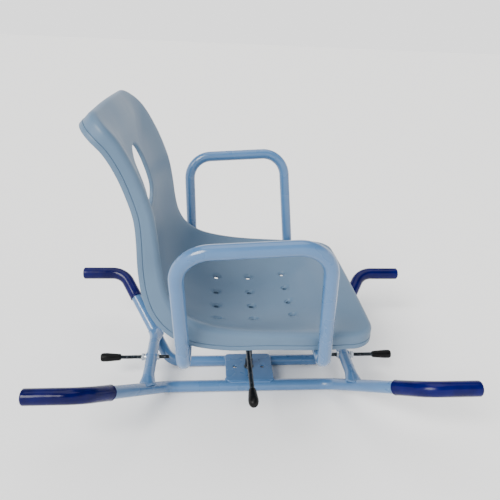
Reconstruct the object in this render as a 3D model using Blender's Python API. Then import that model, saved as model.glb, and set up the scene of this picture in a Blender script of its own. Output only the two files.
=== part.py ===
# Swivel bath seat that stands across a bathtub: a fixed frame that hangs on the two rims,
# and a moulded chair that turns on a spindle in the frame's middle and locks every quarter turn.
# Units are metres, +Z up. The seated user faces +X, so -Y is the user's right-hand side.

import math

import bpy
import numpy as np

for old in list(bpy.data.objects):
    bpy.data.objects.remove(old, do_unlink=True)

SIDES = 12
HALF_FACET = math.radians(15.0)
GAP = 0.0003
WALL = 0.0015

# frame: two bent tubes, mirrored in Y, whose sleeved ends rest on the rims
TUBE_R = 0.0114
MID_DROP = 0.1246
RIM_Z = MID_DROP + TUBE_R * math.cos(HALF_FACET)
END_X = 0.361
RIM_BEND_X = 0.276
MID_BEND_X = 0.162
RIM_Y = 0.200
MID_Y = 0.039
FRAME_BEND = 0.042

# sleeves pushed over the four rim ends, bend included
GRIP_R = 0.0131
GRIP_INNER_X = 0.243

# cross tubes with the two screwed side stops that press on the tub's inner walls
CROSS_X = 0.195
STOP_Z = -0.082
BOSS_R = 0.0062
STOP_ROD_R = 0.0039
STOP_ROD_IN = 0.160
STOP_TIP_IN = 0.255
STOP_TIP_OUT = 0.294

# centre plate, four index holes on a circle round the spindle
PLATE_X = 0.0475
PLATE_Y = 0.042
PLATE_T = 0.004
PLATE_TOP = -MID_DROP + TUBE_R * math.cos(HALF_FACET) + GAP + PLATE_T
INDEX_R = 0.028
PIN_R = 0.0036

# spindle and swivel hub
SPINDLE_R = 0.0055
HUB_R = 0.012
HUB_LOW = 0.018

# seat carrier plate under the shell
CARRIER_TOP = 0.0395
CARRIER_T = 0.005

# armrests: one bent tube each, legs turn inward under the seat
ARM_R = 0.0105
ARM_LOW = 0.050
ARM_LEAN = 0.20
ARM_Y = 0.217
ARM_Y_AT = 0.150

# release lever
LEVER_R = 0.004
LEVER_Z = 0.008
LEVER_X = -0.013
LEVER_SIDE_X = -0.019
PIVOT_Y = -0.038

# seat shell
SHELL_T = 0.004
ROLL_R = 0.009

FRAME_BLUE = (0.30, 0.43, 0.55)
SEAT_BLUE = (0.36, 0.47, 0.60)
GRIP_NAVY = (0.004, 0.006, 0.10)
BLACK = (0.012, 0.012, 0.014)
DARK_STEEL = (0.10, 0.10, 0.11)
ZINC = (0.55, 0.58, 0.62)


def material(name, color, roughness, metallic):
    mat = bpy.data.materials.new(name)
    mat.use_nodes = True
    shader = mat.node_tree.nodes["Principled BSDF"]
    shader.inputs["Base Color"].default_value = (*color, 1.0)
    shader.inputs["Roughness"].default_value = roughness
    shader.inputs["Metallic"].default_value = metallic
    return mat


def add_object(name, verts, faces, look, origin=(0.0, 0.0, 0.0)):
    """Makes one object from a closed mesh given in frame coordinates (grip plane at zero)."""
    at = np.array(origin, float)
    points = np.array(verts, float) - at
    mesh = bpy.data.meshes.new(name)
    mesh.from_pydata(points.tolist(), [], faces)
    mesh.update()
    obj = bpy.data.objects.new(name, mesh)
    obj.location = (at[0], at[1], at[2] + RIM_Z)
    bpy.context.collection.objects.link(obj)
    if look is not None:
        color, roughness, metallic = look
        mesh.materials.append(material(name, color, roughness, metallic))
    return obj


def cut(obj, cutters):
    """Takes each cutter out of the object."""
    for cutter in cutters:
        cutter.hide_render = True
        cutter.display_type = "WIRE"
        step = obj.modifiers.new("cut_" + cutter.name, "BOOLEAN")
        step.operation = "DIFFERENCE"
        step.solver = "EXACT"
        step.object = cutter


def join(obj, extras):
    for extra in extras:
        extra.hide_render = True
        extra.display_type = "WIRE"
        step = obj.modifiers.new("join_" + extra.name, "BOOLEAN")
        step.operation = "UNION"
        step.solver = "EXACT"
        step.object = extra


def bent_path(corners, radii, steps=4):
    """Centre line through the corners, with a circular arc of the given radius at each inner one."""
    pts = [np.array(corners[0], float)]
    for i in range(1, len(corners) - 1):
        a, b, c = (np.array(corners[k], float) for k in (i - 1, i, i + 1))
        u = (a - b) / np.linalg.norm(a - b)
        v = (c - b) / np.linalg.norm(c - b)
        half = 0.5 * math.acos(max(-1.0, min(1.0, float(u @ v))))
        reach = radii[i - 1] / math.tan(half)
        centre = b + (u + v) / np.linalg.norm(u + v) * radii[i - 1] / math.sin(half)
        start, end = b + u * reach - centre, b + v * reach - centre
        turn = math.acos(max(-1.0, min(1.0, float(start @ end) / radii[i - 1] ** 2)))
        for k in range(steps + 1):
            t = k / steps
            p = (math.sin((1 - t) * turn) * start + math.sin(t * turn) * end) / math.sin(turn)
            pts.append(centre + p)
    pts.append(np.array(corners[-1], float))
    return np.array(pts)


def path_frames(path, up):
    """A pair of cross directions at every path point, carried along without twist."""
    n = len(path)
    tangents = []
    for i in range(n):
        before = path[i] - path[i - 1] if i > 0 else path[1] - path[0]
        after = path[i + 1] - path[i] if i < n - 1 else path[-1] - path[-2]
        t = before / np.linalg.norm(before) + after / np.linalg.norm(after)
        tangents.append(t / np.linalg.norm(t))
    frames = []
    normal = np.array(up, float)
    normal -= tangents[0] * (normal @ tangents[0])
    normal /= np.linalg.norm(normal)
    old = tangents[0]
    for t in tangents:
        # turn the frame by the same rotation that turns the old tangent into the new one
        axis = np.cross(old, t)
        s, c = np.linalg.norm(axis), float(old @ t)
        if s > 1e-9:
            axis /= s
            normal = normal * c + np.cross(axis, normal) * s + axis * (axis @ normal) * (1 - c)
        normal -= t * (normal @ t)
        normal /= np.linalg.norm(normal)
        frames.append((normal.copy(), np.cross(t, normal)))
        old = t
    return frames


def ring(centre, across, side, radius, sides=SIDES):
    out = []
    for k in range(sides):
        a = 2 * math.pi * (k + 0.5) / sides
        out.append(centre + radius * (math.cos(a) * across + math.sin(a) * side))
    return out


def loft(rings, loop):
    """Joins equal rings into a closed skin; loop=True joins the last ring to the first."""
    n = len(rings[0])
    verts = [p for r in rings for p in r]
    faces = []
    last = len(rings) if loop else len(rings) - 1
    for i in range(last):
        j = (i + 1) % len(rings)
        for k in range(n):
            m = (k + 1) % n
            faces.append((i * n + k, i * n + m, j * n + m, j * n + k))
    if not loop:
        faces.append(tuple(reversed(range(n))))
        faces.append(tuple(range((len(rings) - 1) * n, len(rings) * n)))
    return verts, faces


def tube(name, path, radius, look, up=(0, 0, 1), wall=WALL, origin=(0.0, 0.0, 0.0)):
    """A round tube along a path, open at both ends; wall=None makes a solid rod."""
    frames = path_frames(path, up)
    outer = [ring(p, f[0], f[1], radius) for p, f in zip(path, frames)]
    if wall is None:
        verts, faces = loft(outer, False)
    else:
        inner = [ring(p, f[0], f[1], radius - wall) for p, f in zip(path, frames)]
        verts, faces = loft(outer + inner[::-1], True)
    return add_object(name, verts, faces, look, origin)


def turned(name, profile, centre, axis, look, sides=16, closed=True, origin=(0.0, 0.0, 0.0)):
    """A turned piece. profile lists (radius, distance along axis). closed=True has solid ends;
    closed=False takes the profile as a loop round a through hole."""
    axis = np.array(axis, float)
    helper = np.array((0, 0, 1.0)) if abs(axis[2]) < 0.9 else np.array((1.0, 0, 0))
    across = np.cross(helper, axis)
    across /= np.linalg.norm(across)
    side = np.cross(axis, across)
    centre = np.array(centre, float)
    rings = [ring(centre + axis * d, across, side, r, sides) for r, d in profile]
    verts, faces = loft(rings, not closed)
    return add_object(name, verts, faces, look, origin)


def block(name, low, high, look, corner=0.0, origin=(0.0, 0.0, 0.0)):
    """A plate or block; corner rounds its four upright edges."""
    (x0, y0, z0), (x1, y1, z1) = low, high
    outline = []
    if corner > 0:
        for cx, cy, start in ((x1, y1, 0), (x0, y1, 90), (x0, y0, 180), (x1, y0, 270)):
            mx = cx - corner if cx == x1 else cx + corner
            my = cy - corner if cy == y1 else cy + corner
            for k in range(5):
                a = math.radians(start + 22.5 * k)
                outline.append((mx + corner * math.cos(a), my + corner * math.sin(a)))
    else:
        outline = [(x0, y0), (x1, y0), (x1, y1), (x0, y1)]
    rings = [[np.array((x, y, z)) for x, y in outline] for z in (z0, z1)]
    verts, faces = loft(rings, False)
    return add_object(name, verts, faces, look, origin)


def hexagon(name, centre, axis, across_flats, low, high, bore, look):
    """A hexagon nut with a plain round hole made of twelve facets."""
    r = across_flats / math.sqrt(3.0)
    axis = np.array(axis, float)
    helper = np.array((0, 0, 1.0)) if abs(axis[2]) < 0.9 else np.array((1.0, 0, 0))
    across = np.cross(helper, axis)
    side = np.cross(axis, across)
    centre = np.array(centre, float)
    hexa, hole = [], []
    for k in range(12):
        a = math.radians(30.0 * k)
        reach = r if k % 2 == 0 else r * math.cos(math.radians(30.0))
        hexa.append(reach * (math.cos(a) * across + math.sin(a) * side))
        hole.append(bore * (math.cos(a) * across + math.sin(a) * side))
    rings = [
        [centre + axis * low + p for p in hexa],
        [centre + axis * high + p for p in hexa],
        [centre + axis * high + p for p in hole],
        [centre + axis * low + p for p in hole],
    ]
    verts, faces = loft(rings, True)
    return add_object(name, verts, faces, look)


painted = (FRAME_BLUE, 0.3, 0.0)
zinc = (ZINC, 0.35, 1.0)
steel = (DARK_STEEL, 0.4, 1.0)
black = (BLACK, 0.4, 0.0)
navy = (GRIP_NAVY, 0.25, 0.0)

# ---------------- frame ----------------


def frame_path(side, end_x=END_X):
    y, m = side * RIM_Y, side * MID_Y
    corners = [
        (-end_x, y, 0),
        (-RIM_BEND_X, y, 0),
        (-MID_BEND_X, m, -MID_DROP),
        (MID_BEND_X, m, -MID_DROP),
        (RIM_BEND_X, y, 0),
        (end_x, y, 0),
    ]
    return bent_path(corners, [FRAME_BEND] * 4)


def diagonal_point(sx, sy, x):
    s = (RIM_BEND_X - x) / (RIM_BEND_X - MID_BEND_X)
    return (sx * x, sy * (RIM_Y + s * (MID_Y - RIM_Y)), -s * MID_DROP)


for side, word in ((-1, "right"), (1, "left")):
    tube("frame_tube_" + word, frame_path(side), TUBE_R, painted)

for sx, front in ((1, "front"), (-1, "rear")):
    for sy, word in ((-1, "right"), (1, "left")):
        corners = [
            diagonal_point(sx, sy, GRIP_INNER_X),
            (sx * RIM_BEND_X, sy * RIM_Y, 0),
            (sx * END_X, sy * RIM_Y, 0),
        ]
        path = bent_path(corners, [FRAME_BEND])
        frames = path_frames(path[::-1], (0, 0, 1))[::-1]
        outer = [ring(p, f[0], f[1], GRIP_R) for p, f in zip(path, frames)]
        inner = [ring(p, f[0], f[1], TUBE_R + GAP) for p, f in zip(path, frames)]
        across, other = frames[-1]
        out = np.array((sx * 1.0, 0, 0))
        tip = path[-1]
        for shrink, step in ((1.0, 0.0004), (0.86, 0.0029), (0.5, 0.004)):
            outer.append(ring(tip + out * step, across, other, GRIP_R * shrink))
        inner[-1] = ring(tip + out * GAP, across, other, TUBE_R + GAP)
        # the loft's two end caps close the outer tip and the floor of the blind bore
        verts, faces = loft(outer[::-1] + inner, False)
        add_object("rim_grip_" + front + "_" + word, verts, faces, navy)

# cross tubes, coped round the diagonals
for sx, front in ((1, "front"), (-1, "rear")):
    path = np.array([(sx * CROSS_X, -0.084, STOP_Z), (sx * CROSS_X, 0.084, STOP_Z)])
    cross = tube("cross_tube_" + front, path, TUBE_R - 0.0004, painted)
    copes = []
    for sy in (-1, 1):
        ends = np.array([diagonal_point(sx, sy, MID_BEND_X - 0.01), diagonal_point(sx, sy, 0.24)])
        name = "cope_%s_%d" % (front, sy)
        copes.append(tube(name, ends, TUBE_R + 2 * GAP, None, wall=None))
    hole = turned(
        "boss_hole_" + front,
        [(BOSS_R + GAP, -0.02), (BOSS_R + GAP, 0.02)],
        (sx * CROSS_X, 0, STOP_Z), (1, 0, 0), None,
    )
    cut(cross, copes + [hole])

    at = (0, 0, STOP_Z)
    out = (sx, 0, 0)
    b, r = BOSS_R, STOP_ROD_R
    turned("stop_boss_" + front, [(b, 0.180), (b, 0.209), (r + GAP, 0.209), (r + GAP, 0.180)],
           at, out, zinc, closed=False)
    hexagon("stop_nut_" + front, at, out, 0.013, 0.209 + GAP, 0.2145, r + GAP, zinc)
    pivot = (sx * STOP_TIP_IN, 0, STOP_Z)
    turned("stop_rod_" + front, [(r - 0.0007, STOP_ROD_IN), (r, STOP_ROD_IN + 0.0012),
                                 (r, STOP_TIP_IN + 0.018)],
           at, out, steel, origin=pivot)
    turned("stop_tip_" + front,
           [(0.0058, STOP_TIP_IN), (0.0066, STOP_TIP_IN + 0.002), (0.0086, STOP_TIP_OUT - 0.012),
            (0.0084, STOP_TIP_OUT - 0.004), (0.0060, STOP_TIP_OUT)],
           at, out, black, origin=pivot)
    tip = bpy.data.objects["stop_tip_" + front]
    cut(tip, [turned("tip_bore_" + front,
                     [(r + GAP, STOP_TIP_IN - 0.01), (r + GAP, STOP_TIP_IN + 0.018 + GAP)],
                     at, out, None)])

# centre plate
plate = block("centre_plate", (-PLATE_X, -PLATE_Y, PLATE_TOP - PLATE_T), (PLATE_X, PLATE_Y, PLATE_TOP),
              painted, corner=0.007)
holes = []
for k in range(4):
    a = math.radians(90.0 * k)
    holes.append(turned("index_hole_%d" % k, [(PIN_R + 0.0006, -0.02), (PIN_R + 0.0006, 0.02)],
                        (INDEX_R * math.cos(a), INDEX_R * math.sin(a), PLATE_TOP), (0, 0, 1), None))
holes.append(turned("spindle_hole", [(0.005 + GAP, -0.02), (0.005 + GAP, 0.02)],
                    (0, 0, PLATE_TOP), (0, 0, 1), None))
cut(plate, holes)

low = PLATE_TOP + GAP
turned("spindle",
       [(0.005, -0.1225), (0.005, low), (0.0095, low), (0.0075, low + 0.003), (0.0075, low + 0.019),
        (0.0065, low + 0.020), (SPINDLE_R, low + 0.020), (SPINDLE_R, HUB_LOW - 0.006),
        (0.0095, HUB_LOW - 0.006), (0.0095, HUB_LOW - GAP), (SPINDLE_R, HUB_LOW - GAP),
        (SPINDLE_R, CARRIER_TOP + 0.0039)],
       (0, 0, 0), (0, 0, 1), steel)
hexagon("spindle_base_nut", (0, 0, 0), (0, 0, 1), 0.016, -0.1215, PLATE_TOP - PLATE_T - GAP,
        0.005 + GAP, zinc)
hexagon("spindle_top_nut", (0, 0, 0), (0, 0, 1), 0.015, CARRIER_TOP + GAP, CARRIER_TOP + 0.0037,
        SPINDLE_R + 0.00005 + GAP, zinc)

# ---------------- chair ----------------

SEAT_AT = (0, 0, HUB_LOW)
carrier_low = CARRIER_TOP - CARRIER_T
bore = SPINDLE_R + 0.00008
turned("swivel_hub",
       [(HUB_R, HUB_LOW), (HUB_R, carrier_low - GAP), (bore, carrier_low - GAP), (bore, HUB_LOW)],
       (0, 0, 0), (0, 0, 1), painted, sides=24, closed=False, origin=SEAT_AT)
carrier = block("carrier_plate", (-0.135, -0.078, carrier_low), (0.113, 0.078, CARRIER_TOP),
                painted, corner=0.012, origin=SEAT_AT)
screws = [(-0.075, -0.058), (-0.075, 0.058), (0.052, -0.058), (0.052, 0.058)]
holes = [turned("carrier_hole_%d" % i, [(0.0031, -0.02), (0.0031, 0.02)], (x, y, CARRIER_TOP),
                (0, 0, 1), None) for i, (x, y) in enumerate(screws)]
holes.append(turned("carrier_centre", [(SPINDLE_R + 0.0008, -0.02), (SPINDLE_R + 0.0008, 0.02)],
                    (0, 0, CARRIER_TOP), (0, 0, 1), None))
holes.append(turned("carrier_pin_hole", [(PIN_R + 0.0004, -0.02), (PIN_R + 0.0004, 0.02)],
                    (0, INDEX_R, CARRIER_TOP), (0, 0, 1), None))
cut(carrier, holes)
for i, (x, y) in enumerate(screws):
    word = ("rear" if x < 0 else "front") + "_" + ("right" if y < 0 else "left")
    turned("seat_screw_" + word,
           [(0.0022, carrier_low - 0.0042), (0.0052, carrier_low - 0.0030), (0.0056, carrier_low - GAP),
            (0.0027, carrier_low - GAP), (0.0027, CARRIER_TOP + 0.0058)],
           (x, y, 0), (0, 0, 1), zinc, origin=SEAT_AT)


def arm_y(z):
    return ARM_Y + ARM_LEAN * (z - ARM_Y_AT)


for sy, word in ((-1, "right"), (1, "left")):
    corners = [
        (-0.119, sy * 0.030, ARM_LOW),
        (-0.119, sy * arm_y(ARM_LOW), ARM_LOW),
        (-0.126, sy * arm_y(0.261), 0.261),
        (0.077, sy * arm_y(0.275), 0.275),
        (0.097, sy * arm_y(ARM_LOW), ARM_LOW),
        (0.097, sy * 0.030, ARM_LOW),
    ]
    path = bent_path(corners, [0.026, 0.047, 0.047, 0.026], steps=5)
    tube("armrest_" + word, path, ARM_R, painted, origin=SEAT_AT)

# seat shell: the crest line is a curve in the XZ plane, and the shell's outline is laid out along
# it. Position = curve(u) + height * normal(u), with v straight across.
CREST = np.array([
    (0.177, 0.095), (0.120, 0.0955), (0.060, 0.097), (0.000, 0.0995), (-0.045, 0.104),
    (-0.084, 0.112), (-0.112, 0.124), (-0.133, 0.143), (-0.145, 0.168), (-0.151, 0.200),
    (-0.1545, 0.238), (-0.1605, 0.280), (-0.1720, 0.317), (-0.187, 0.352), (-0.206, 0.3845),
    (-0.233, 0.411),
])


def smooth_curve(points, count):
    """Evenly spaced points on a Catmull-Rom curve through the given ones."""
    ext = np.vstack([2 * points[0] - points[1], points, 2 * points[-1] - points[-2]])
    dense = []
    for i in range(1, len(ext) - 2):
        p0, p1, p2, p3 = ext[i - 1:i + 3]
        for t in np.linspace(0, 1, 24, endpoint=False):
            dense.append(0.5 * (2 * p1 + (p2 - p0) * t + (2 * p0 - 5 * p1 + 4 * p2 - p3) * t * t
                                + (3 * p1 - p0 - 3 * p2 + p3) * t ** 3))
    dense.append(points[-1])
    dense = np.array(dense)
    run = np.concatenate([[0], np.cumsum(np.linalg.norm(np.diff(dense, axis=0), axis=1))])
    even = np.linspace(0, run[-1], count)
    return even, np.stack([np.interp(even, run, dense[:, k]) for k in (0, 1)], axis=1)


crest_u, crest_xz = smooth_curve(CREST, 161)
length = crest_u[-1]
slope = np.gradient(crest_xz, crest_u, axis=0)
slope /= np.linalg.norm(slope, axis=1)[:, None]
for k in range(3):
    slope[1:-1] = (slope[:-2] + 2 * slope[1:-1] + slope[2:]) / 4
    slope /= np.linalg.norm(slope, axis=1)[:, None]


def place(u, v, h):
    """Shell coordinates to frame coordinates; beyond either end the curve runs straight on."""
    t = min(max(u, 0.0), length)
    x, z = (np.interp(t, crest_u, crest_xz[:, k]) for k in (0, 1))
    tx, tz = (np.interp(t, crest_u, slope[:, k]) for k in (0, 1))
    return np.array((x + tx * (u - t) + tz * h, v, z + tz * (u - t) - tx * h))


def table(u, xs, ys):
    """Smooth value between table entries."""
    i = int(np.clip(np.searchsorted(xs, u) - 1, 0, len(xs) - 2))
    t = min(max((u - xs[i]) / (xs[i + 1] - xs[i]), 0.0), 1.0)
    return ys[i] + (ys[i + 1] - ys[i]) * (3 * t * t - 2 * t ** 3)


def half_width(u):
    return table(u, (0.0, 0.10, 0.24, 0.30, 0.40, 0.46, 0.60, length),
                 (0.170, 0.176, 0.178, 0.175, 0.152, 0.145, 0.139, 0.141))


def dish(u):
    """How far the middle of the shell lies behind the crest."""
    return table(u, (0.0, 0.050, 0.104, 0.174, 0.245, 0.300, 0.380, 0.450, 0.560, length - 0.03, length),
                 (0.004, 0.014, 0.0355, 0.048, 0.055, 0.051, 0.033, 0.023, 0.022, 0.016, 0.006))


def flange(u):
    return table(u, (0.0, 0.17, 0.23, 0.29, 0.37, 0.46, 0.54, length),
                 (0.027, 0.027, 0.033, 0.039, 0.034, 0.028, 0.026, 0.029))


def outline():
    """Right-hand half of the crest outline, from the front middle to the top middle."""
    pts = []
    front_r, top_r, arch = 0.032, 0.032, 0.002
    w0, w1 = half_width(front_r), half_width(length - top_r)
    for t in np.linspace(0, 1, 7, endpoint=False):
        pts.append((0.003 * (t * (w0 - front_r) / w0) ** 2, t * (w0 - front_r)))
    for a in np.radians((0, 18, 36, 54, 72)):
        pts.append((front_r * (1 - math.cos(a)) + 0.002, w0 - front_r + front_r * math.sin(a)))
    for u in np.linspace(front_r + 0.002, length - top_r - arch, 19):
        pts.append((u, half_width(u)))
    for a in np.radians((18, 36, 54, 72)):
        pts.append((length - arch - top_r * (1 - math.sin(a)), w1 - top_r * (1 - math.cos(a))))
    for t in np.linspace(1, 0, 6):
        v = t * (w1 - top_r)
        pts.append((length - arch * (v / (w1 - top_r)) ** 2, v))
    return pts


half = outline()
loop = [(u, -v) for u, v in half] + [(u, v) for u, v in half[-2:0:-1]]
count = len(loop)
# outward direction of the outline at each point, in (u, v)
outward = []
for i in range(count):
    a, b = np.array(loop[i - 1]), np.array(loop[(i + 1) % count])
    d = (b - a) / np.linalg.norm(b - a)
    outward.append((d[1], -d[0]))
if outward[count // 4][1] > 0:
    outward = [(-a, -b) for a, b in outward]
SPINE = (0.145, length - 0.135)


def hollow(u, inset):
    """Height of the bowl: level at the crest, falling smoothly to the dish at the spine."""
    q = min(inset / 0.9, 1.0)
    return -dish(u) * (1 - (1 - q * q * 1.10 / (q + 0.10)) ** 2.2)


def shell_point(i, inset, under):
    """inset 0 is the crest and 1 the spine; under is the depth below the upper skin."""
    u0, v0 = loop[i]
    spine_u = min(max(u0, SPINE[0]), SPINE[1])
    u = u0 + (spine_u - u0) * inset
    v = v0 * (1 - inset)
    return place(u, v, hollow(u, inset) - under)


def edge_point(i, out, h):
    u0, v0 = loop[i]
    return place(u0 + outward[i][0] * out, v0 + outward[i][1] * out, h)


rings = []
for inset in (0.86, 0.68, 0.48, 0.30, 0.17, 0.07):
    rings.append([shell_point(i, inset, 0.0) for i in range(count)])
for a in (0, 30, 60, 90):
    a = math.radians(a)
    rings.append([edge_point(i, ROLL_R * math.sin(a), -ROLL_R * (1 - math.cos(a))) for i in range(count)])
rings.append([edge_point(i, ROLL_R, -flange(loop[i][0])) for i in range(count)])
rings.append([edge_point(i, ROLL_R - 0.0035, -flange(loop[i][0])) for i in range(count)])
for a in (90, 45):
    a = math.radians(a)
    r = ROLL_R - 0.0035
    rings.append([edge_point(i, r * math.sin(a), -SHELL_T - r * (1 - math.cos(a))) for i in range(count)])
for inset in (0.07, 0.30, 0.48, 0.68, 0.86):
    rings.append([shell_point(i, inset, SHELL_T) for i in range(count)])

verts = [p for r in rings for p in r]
faces = []
for a in range(len(rings) - 1):
    for k in range(count):
        m = (k + 1) % count
        faces.append((a * count + k, a * count + m, (a + 1) * count + m, (a + 1) * count + k))


def close_middle(base, under, flip):
    """Fills the innermost ring with a row of points along the spine."""
    spine = []
    index = {}
    for i in range(len(half)):
        u0 = loop[i][0]
        s = round(min(max(u0, SPINE[0]), SPINE[1]), 6)
        if s not in index:
            index[s] = len(verts)
            verts.append(place(s, 0.0, -dish(s) - under))
        spine.append(index[s])
    spine_full = spine + spine[-2:0:-1]
    for k in range(count):
        m = (k + 1) % count
        quad = [base + k, base + m, spine_full[m], spine_full[k]]
        face = [q for j, q in enumerate(quad) if q not in quad[:j]]
        if len(face) >= 3:
            faces.append(tuple(reversed(face)) if flip else tuple(face))


close_middle(0, 0.0, True)
close_middle((len(rings) - 1) * count, SHELL_T, False)
shell = add_object("seat_shell", verts, [tuple(reversed(f)) for f in faces],
                   (SEAT_BLUE, 0.45, 0.0), origin=SEAT_AT)



def skin_height(x, y):
    """Height of the upper skin above a point under the pan."""
    best = None
    for u in np.linspace(0.06, 0.30, 241):
        p = place(u, y, hollow(u, 1 - abs(y) / half_width(u)))
        if best is None or abs(p[0] - x) < best[0]:
            best = (abs(p[0] - x), p[2])
    return best[1]


posts = []
for i, (x, y) in enumerate(screws):
    top = skin_height(x, y) - 0.0022
    posts.append(turned("post_%d" % i, [(0.0095, CARRIER_TOP + GAP), (0.0095, top)], (x, y, 0),
                        (0, 0, 1), None, sides=12))
join(shell, posts)
cutters = []
for i, (x, y) in enumerate(screws):
    cutters.append(turned("post_hole_%d" % i, [(0.0030, CARRIER_TOP - 0.01), (0.0030, CARRIER_TOP + 0.0065)],
                          (x, y, 0), (0, 0, 1), None, sides=8))
for i, x in enumerate((-0.068, -0.003, 0.066)):
    for j, y in enumerate((-0.076, -0.0253, 0.0253, 0.076)):
        hole = turned("drain_%d_%d" % (i, j), [(1.0, -0.03), (1.0, 0.03)], (0, 0, 0), (0, 0, 1), None, sides=12)
        for v in hole.data.vertices:
            v.co.x = v.co.x * 0.0058 + x
            v.co.y = v.co.y * 0.0042 + y
            v.co.z = v.co.z + 0.055
        cutters.append(hole)
# hand slot through the back
slot = []
for k in range(20):
    a = 2 * math.pi * k / 20
    slot.append((0.037 * math.cos(a), 0.287 + 0.022 * np.sign(math.sin(a)) * (abs(math.sin(a)) > 1e-9)
                 + 0.035 * math.sin(a)))
rings = [[np.array((x, y, z)) for y, z in slot] for x in (-0.30, -0.12)]
sv, sf = loft(rings, False)
cutters.append(add_object("slot_cutter", sv, sf, None))
cut(shell, cutters)

# ---------------- release lever and lock pin ----------------

PIVOT = (LEVER_SIDE_X, PIVOT_Y, LEVER_Z)
path = bent_path([
    (LEVER_X, -0.2110, LEVER_Z), (LEVER_X, -0.090, LEVER_Z), (LEVER_SIDE_X, -0.066, LEVER_Z),
    (LEVER_SIDE_X, 0.004, LEVER_Z), (-0.0088, 0.019, LEVER_Z), (-0.0088, 0.036, LEVER_Z),
], [0.02, 0.02, 0.012, 0.012], steps=3)
rod = tube("lever_rod", path, LEVER_R, steel, wall=None, origin=PIVOT)
barrel = turned("lever_barrel", [(0.0075, -0.005), (0.0075, 0.005)], PIVOT, (1, 0, 0), None)
join(rod, [barrel])
cut(rod, [turned("lever_bore", [(0.00306, -0.02), (0.00306, 0.02)], PIVOT, (1, 0, 0), None)])

knob = turned("lever_knob",
              [(0.0052, 0.0), (0.0062, 0.002), (0.0070, 0.010), (0.0081, 0.022), (0.0080, 0.027),
               (0.0070, 0.0315), (0.0048, 0.0344), (0.0015, 0.0352)],
              (LEVER_X, -0.202, LEVER_Z), (0, -1, 0), black, origin=PIVOT)
cut(knob, [turned("knob_bore", [(LEVER_R + GAP, -0.01), (LEVER_R + GAP, 0.0095)],
                  (LEVER_X, -0.202, LEVER_Z), (0, -1, 0), None)])

# bracket: a channel, open below, that carries the lever's cross pin
x0, x1 = LEVER_SIDE_X - 0.0085, LEVER_SIDE_X + 0.0085
inside = carrier_low - 0.0045
rings = []
for y in (PIVOT_Y - 0.009, PIVOT_Y + 0.009):
    section = [(x0, -0.001), (x0 + 0.003, -0.001), (x0 + 0.003, inside), (x1 - 0.003, inside),
               (x1 - 0.003, -0.001), (x1, -0.001), (x1, carrier_low - GAP), (x0, carrier_low - GAP)]
    rings.append([np.array((x, y, z)) for x, z in section])
verts, faces = loft(rings, False)
bracket = add_object("lever_bracket", verts, [tuple(reversed(f)) for f in faces], painted, origin=SEAT_AT)
cut(bracket, [turned("bracket_bore", [(0.003 + GAP, -0.02), (0.003 + GAP, 0.02)], PIVOT, (1, 0, 0), None)])
turned("lever_pivot_pin",
       [(0.0022, -0.0118), (0.0046, -0.0110), (0.0046, -0.0088), (0.0030, -0.0088),
        (0.0030, 0.0112), (0.0022, 0.0118)],
       PIVOT, (1, 0, 0), zinc, origin=SEAT_AT)

# at rest the lever holds the pin just clear of the plate, and lowering it drops the pin in a hole
collar = LEVER_Z + LEVER_R + GAP
pin_low = PLATE_TOP + 0.0004
turned("lock_pin",
       [(PIN_R - 0.0012, pin_low), (PIN_R, pin_low + 0.0015), (PIN_R, collar), (0.0110, collar),
        (0.0110, collar + 0.0035), (PIN_R, collar + 0.0035), (PIN_R, carrier_low + 0.0005)],
       (0, INDEX_R, 0), (0, 0, 1), steel, origin=(0, INDEX_R, pin_low))
bush_low = collar + 0.0035 + 0.0065
turned("pin_bush",
       [(0.0068, bush_low), (0.0068, carrier_low - GAP), (PIN_R + GAP, carrier_low - GAP),
        (PIN_R + GAP, bush_low)],
       (0, INDEX_R, 0), (0, 0, 1), painted, closed=False, origin=SEAT_AT)

# every skin faces outward
for obj in bpy.data.objects:
    if obj.type != "MESH":
        continue
    mesh = obj.data
    total = 0.0
    for poly in mesh.polygons:
        c = [mesh.vertices[i].co for i in poly.vertices]
        for k in range(1, len(c) - 1):
            total += c[0].dot(c[k].cross(c[k + 1]))
    if total < 0:
        mesh.flip_normals()
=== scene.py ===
# Looks of the swivel bath seat: every surface is worked out on a grid and rides on its CAD body.
import math

import bpy
import numpy as np
from mathutils import Matrix, Vector
from mathutils.geometry import delaunay_2d_cdt


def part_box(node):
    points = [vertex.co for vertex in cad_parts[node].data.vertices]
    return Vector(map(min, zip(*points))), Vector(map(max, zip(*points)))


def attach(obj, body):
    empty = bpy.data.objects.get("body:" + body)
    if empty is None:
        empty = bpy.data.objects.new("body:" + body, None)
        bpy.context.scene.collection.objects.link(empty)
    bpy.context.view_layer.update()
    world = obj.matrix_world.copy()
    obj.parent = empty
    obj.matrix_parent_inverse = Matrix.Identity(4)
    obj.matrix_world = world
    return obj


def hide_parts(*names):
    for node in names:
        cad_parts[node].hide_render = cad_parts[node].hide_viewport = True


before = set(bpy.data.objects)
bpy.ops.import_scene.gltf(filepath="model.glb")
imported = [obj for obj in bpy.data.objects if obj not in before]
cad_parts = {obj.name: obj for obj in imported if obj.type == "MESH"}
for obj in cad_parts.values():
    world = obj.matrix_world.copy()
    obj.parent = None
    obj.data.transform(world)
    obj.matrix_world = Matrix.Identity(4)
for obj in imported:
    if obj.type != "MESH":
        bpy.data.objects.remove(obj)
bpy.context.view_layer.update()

mm = 0.001

# the frame tubes' facets reach their radius times this, and the CAD sits that far above the floor
facet = math.cos(math.radians(15))
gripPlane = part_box("frame_tube_left")[1].z - 11.4 * mm * facet


# ---- shapes: a shape is (points, faces), each face four indices, the last repeated in a triangle ----

def unit(v):
    # v over its own length
    return v / np.linalg.norm(v, axis=-1, keepdims=True)


def fullTurn(count):
    # angles of points spread evenly once round
    return np.arange(count) * 2 * math.pi / count


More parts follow.
